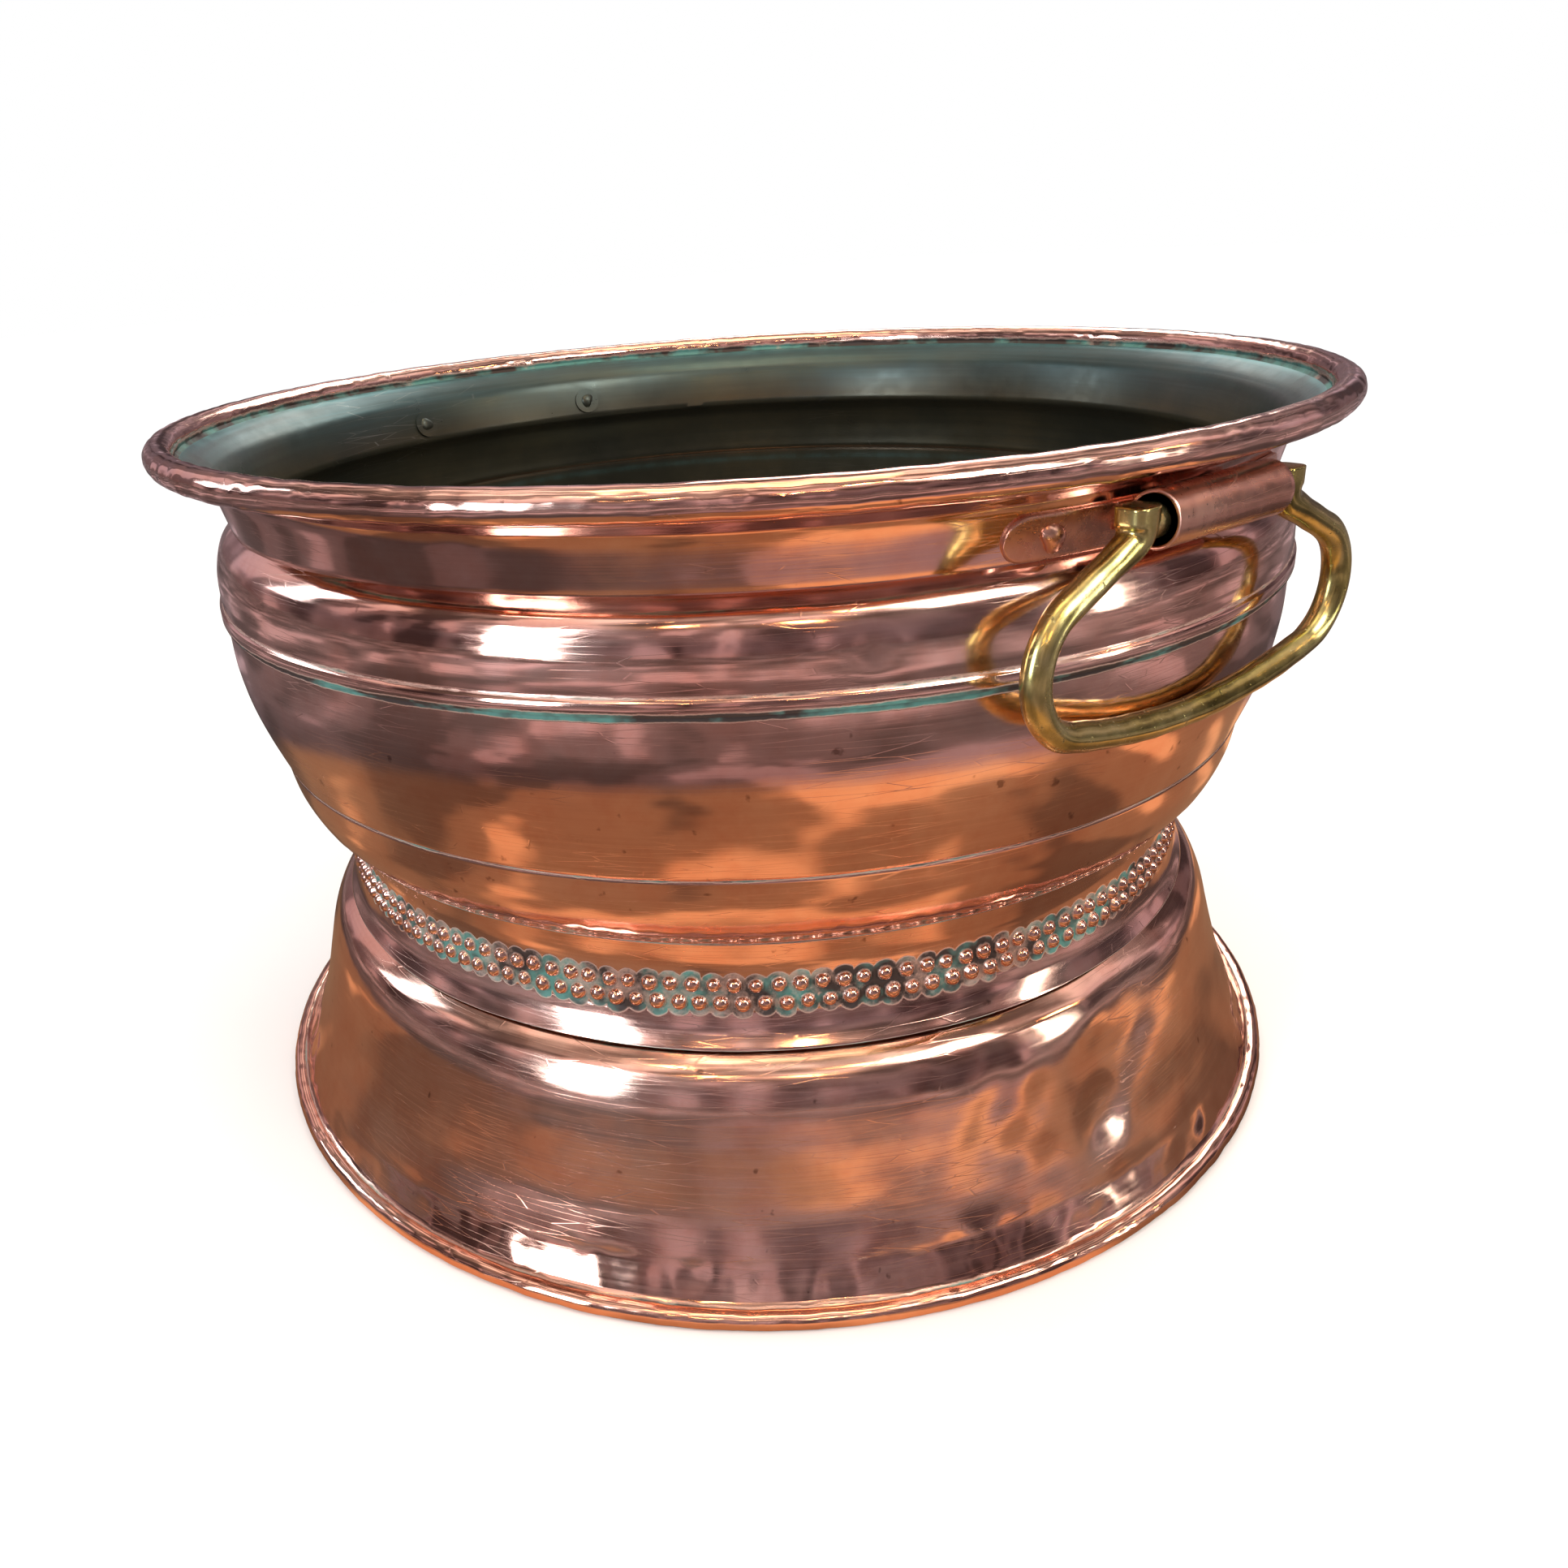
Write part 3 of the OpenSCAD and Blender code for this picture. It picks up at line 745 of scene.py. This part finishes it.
def rivet_rings(angle, seed):
    """A hammered rivet head outside and a smaller one inside, from tip to tip."""
    rng = np.random.default_rng(seed)
    centre = np.array([neck_r(PLATE_Z), 0, PLATE_Z])
    out = np.array([math.cos(LEAN), 0, -math.sin(LEAN)])
    up = np.array([math.sin(LEAN), 0, math.cos(LEAN)])
    phi = np.radians(np.arange(0, 360, 15))
    wobble = rng.uniform(-1, 1, (4, 2))
    stations = [(PLATE_T + 2.1, 0.3), (PLATE_T + 2.0, 1.3), (PLATE_T + 1.5, 2.6), (PLATE_T + 0.8, 3.6),
                (PLATE_T + 0.1, 4.1), (PLATE_T - 0.2, 4.0), (PLATE_T - 0.3, 1.9), (-SHEET - 0.9, 1.9),
                (-SHEET - 1.0, 3.1), (-SHEET - 1.4, 2.9), (-SHEET - 1.9, 1.9), (-SHEET - 2.1, 0.3)]
    rings = []
    for rise, r in stations:
        uneven = 1 + 0.12 * np.sin(2 * phi + wobble[0, 0] * 3) + 0.09 * np.sin(3 * phi + wobble[1, 0] * 3)
        size = r * uneven if r > 2.0 else r * np.ones(len(phi))
        tilt = 0.10 * r * np.sin(phi + wobble[2, 0] * 3) if rise > PLATE_T else 0 * phi
        across = size * np.cos(phi)
        high = size * np.sin(phi)
        ring = centre + np.outer(rise + tilt, out) + np.outer(high, up)
        ring[:, 1] += across
        rings.append(ring)
    turn = math.radians(angle)
    spin = np.array([[math.cos(turn), math.sin(turn), 0], [-math.sin(turn), math.cos(turn), 0], [0, 0, 1]])
    return np.array(rings) @ spin * MM


def make_hardware():
    """Hinges, bails and rivets, right side first."""
    for side, body in (("right", "handle_right"), ("left", "handle_left")):
        turn = (lambda rings: rings) if side == "right" else to_left
        plate = skin(f"hinge_plate_{side}", turn(plate_rings()), [PLATE_COPPER])
        around = barrel_rings()
        around = turn(np.concatenate([around, around[:1]]))
        barrel = skin(f"hinge_barrel_{side}", around, [PLATE_COPPER])
        hinge = join(f"hinge_{side}_plate_and_barrel", [plate, barrel])
        stands_for(hinge, f"hinge_{side}", "bucket")
        bail = skin(f"bail_{side}_bar", turn(bail_rings()), [BRASS])
        pegs = [skin(f"peg_{side}_{end}", turn(peg_rings(end)), [BRASS]) for end in (-1, 1)]
        handle = join(f"bail_{side}", [bail, *pegs])
        stands_for(handle, body, body)
        for end, sign in (("front", -1), ("back", 1)):
            angle = RIVET_ANGLE * sign if side == "right" else 180 - RIVET_ANGLE * sign
            rings = rivet_rings(angle, 20 + len(side) * 2 + sign)
            metals = [PLATE_COPPER, TINNED]
            rivet = skin(f"rivet_head_{side}_{end}", rings, metals, second_from=RIVET_OUTER_RINGS)
            stands_for(rivet, f"rivet_{side}_{end}", "bucket")


def dress_cad_nodes():
    """Hidden pieces and small trim keep their CAD shape and get a material of their own."""
    for name, piece in frame["nodes"].items():
        if name.endswith("_wire"):
            material = IRON
        elif name == "foot_solder":
            material = SOLDER
        elif name.startswith("rove_"):
            material = TINNED
        else:
            continue
        piece.data.materials.clear()
        piece.data.materials.append(material)


# ---------------------------------------------------------------- stage, light and camera


def make_floor():
    """A plain pale sheet that fades into the backdrop; shiny metal sees it as a warm dark table."""
    mesh = bpy.data.meshes.new("floor")
    corners = [(-8, -8, 0), (8, -8, 0), (8, 8, 0), (-8, 8, 0)]
    mesh.from_pydata(corners, [], [(0, 1, 2, 3)])
    floor = bpy.data.objects.new("floor", mesh)
    bpy.context.scene.collection.objects.link(floor)
    material, tree, shader, where = start_material("floor_pale", 0.0)
    shader.inputs["Roughness"].default_value = 0.9
    seen = node(tree, "LightPath").outputs["Is Glossy Ray"]
    away = node(tree, "VectorMath", {0: where}, operation="LENGTH").outputs["Value"]
    table = ramp(tree, away, (0.0, (0.20, 0.105, 0.050)), (0.41, (0.18, 0.095, 0.045)),
                 (0.46, (0.055, 0.038, 0.045)), (1.0, (0.12, 0.09, 0.10)))
    # Painted pools of light and shade on the table that the metal reflects: some patches three times
    # brighter, some darker.
    clouds = noise(tree, where, 3.4, 3, 0.5)
    patches = ramp(tree, clouds, (0.44, 0.45), (0.47, 1.0), (0.55, 1.1), (0.58, 3.2))
    table = mixed(tree, 1.0, table, patches, "MULTIPLY")
    fade = node(tree, "MapRange", {"Value": away, "From Min": 0.6, "From Max": 2.4}).outputs["Result"]
    fade = maths(tree, "MULTIPLY", fade, maths(tree, "SUBTRACT", 1.0, seen))
    colour = mixed(tree, seen, (0.80, 0.80, 0.79), table)
    tree.links.new(mixed(tree, fade, colour, (0.0, 0.0, 0.0)), shader.inputs["Base Color"])
    shader.inputs["Emission Color"].default_value = (*BACKDROP, 1)
    tree.links.new(fade, shader.inputs["Emission Strength"])
    mesh.materials.append(material)


def make_world():
    """A pale backdrop for the eye and for soft light; a dim mauve-brown room for the reflections."""
    world = bpy.data.worlds.new("studio")
    bpy.context.scene.world = world
    world.use_nodes = True
    tree = world.node_tree
    where = node(tree, "TexCoord").outputs["Generated"]
    up = node(tree, "SeparateXYZ", {"Vector": where}).outputs["Z"]
    height = node(tree, "MapRange", {"Value": up, "From Min": -0.3, "From Max": 1.0}).outputs["Result"]
    room = ramp(tree, height, (0.0, (0.16, 0.10, 0.09)), (0.34, (0.16, 0.12, 0.14)),
                (0.60, (0.24, 0.18, 0.19)), (1.0, (0.55, 0.45, 0.40)))
    streaks = noise(tree, stretched(tree, where, (4.5, 4.5, 1.1)), 1.0, 3, 0.5)
    shapes = ramp(tree, streaks, (0.43, 0.35), (0.47, 1.0), (0.54, 1.2), (0.58, 3.4))
    room = mixed(tree, 1.0, room, shapes, "MULTIPLY")
    seen = node(tree, "LightPath").outputs["Is Glossy Ray"]
    tree.links.new(mixed(tree, seen, BACKDROP, room), tree.nodes["Background"].inputs["Color"])
    tree.nodes["Background"].inputs["Strength"].default_value = 1.0


def panel(name, azimuth, elevation, distance, width, height, power, colour):
    """A soft light panel that looks at the object's middle. Azimuth 0 is at -Y and 90 at +X."""
    middle = Vector((0, 0, 0.13))
    a, e = math.radians(azimuth), math.radians(elevation)
    back = Vector((math.sin(a) * math.cos(e), -math.cos(a) * math.cos(e), math.sin(e)))
    light = bpy.data.lights.new(name, "AREA")
    light.shape = "RECTANGLE"
    light.size, light.size_y = width, height
    light.energy = power
    light.color = colour
    lamp = bpy.data.objects.new(name, light)
    lamp.location = middle + back * distance
    lamp.rotation_mode = "QUATERNION"
    lamp.rotation_quaternion = (-back).to_track_quat("-Z", "Y")
    lamp.visible_camera = False
    bpy.context.scene.collection.objects.link(lamp)


def make_lights():
    """A window in two columns of panes, broad soft panels, and small warm lamps for glints."""
    cool, white, warm, lamp = (0.80, 0.88, 1.0), (1.0, 0.97, 0.93), (1.0, 0.72, 0.45), (1.0, 0.55, 0.22)
    for row in range(3):
        for column in range(2):
            panel(f"window_{row}_{column}", 7 + 7 * column, 4.5 + 10 * row, 1.7, 0.17, 0.26, 2.2, cool)
    panel("key", 100, 42, 1.7, 0.6, 0.5, 9, white)
    panel("fill_left", -50, 24, 2.0, 0.35, 0.8, 5, cool)
    panel("back", 215, 38, 2.0, 1.2, 0.8, 12, white)
    panel("top", 60, 84, 1.9, 1.0, 1.0, 9, warm)
    panel("strip_right", 118, 12, 1.6, 0.10, 0.7, 3, white)
    glints = [(38, 36), (62, 33), (78, 48), (20, 55), (128, 30)]
    for k, (azimuth, elevation) in enumerate(glints):
        panel(f"lamp_{k}", azimuth, elevation, 1.8, 0.07, 0.07, 1.2, lamp)


def make_camera():
    """The photograph's viewing angle: near, a little above the rim, and tilted slightly."""
    azimuth, yaw, pitch, roll = (math.radians(v) for v in (52.0, -3.25, -23.67, -3.9))
    turn = Matrix.Rotation(azimuth, 3, "Z")
    forward = Vector((math.sin(yaw) * math.cos(pitch), math.cos(yaw) * math.cos(pitch), math.sin(pitch)))
    right = forward.cross(Vector((0, 0, 1))).normalized()
    up = right.cross(forward)
    right, up = math.cos(roll) * right + math.sin(roll) * up, math.cos(roll) * up - math.sin(roll) * right
    data = bpy.data.cameras.new("camera")
    data.sensor_width = 36
    data.lens = 28.92
    data.shift_x = 0.06
    data.clip_start = 0.01
    camera = bpy.data.objects.new("camera", data)
    axes = [turn @ right, turn @ up, turn @ -forward]
    there = Matrix.Translation(turn @ Vector((0, -0.5035, 0.3178)))
    camera.matrix_world = there @ Matrix(axes).transposed().to_4x4()
    bpy.context.scene.collection.objects.link(camera)
    bpy.context.scene.camera = camera


make_camera()
make_bucket()
make_hardware()
dress_cad_nodes()
make_floor()
make_world()
make_lights()
bpy.context.scene.view_settings.view_transform = "Standard"
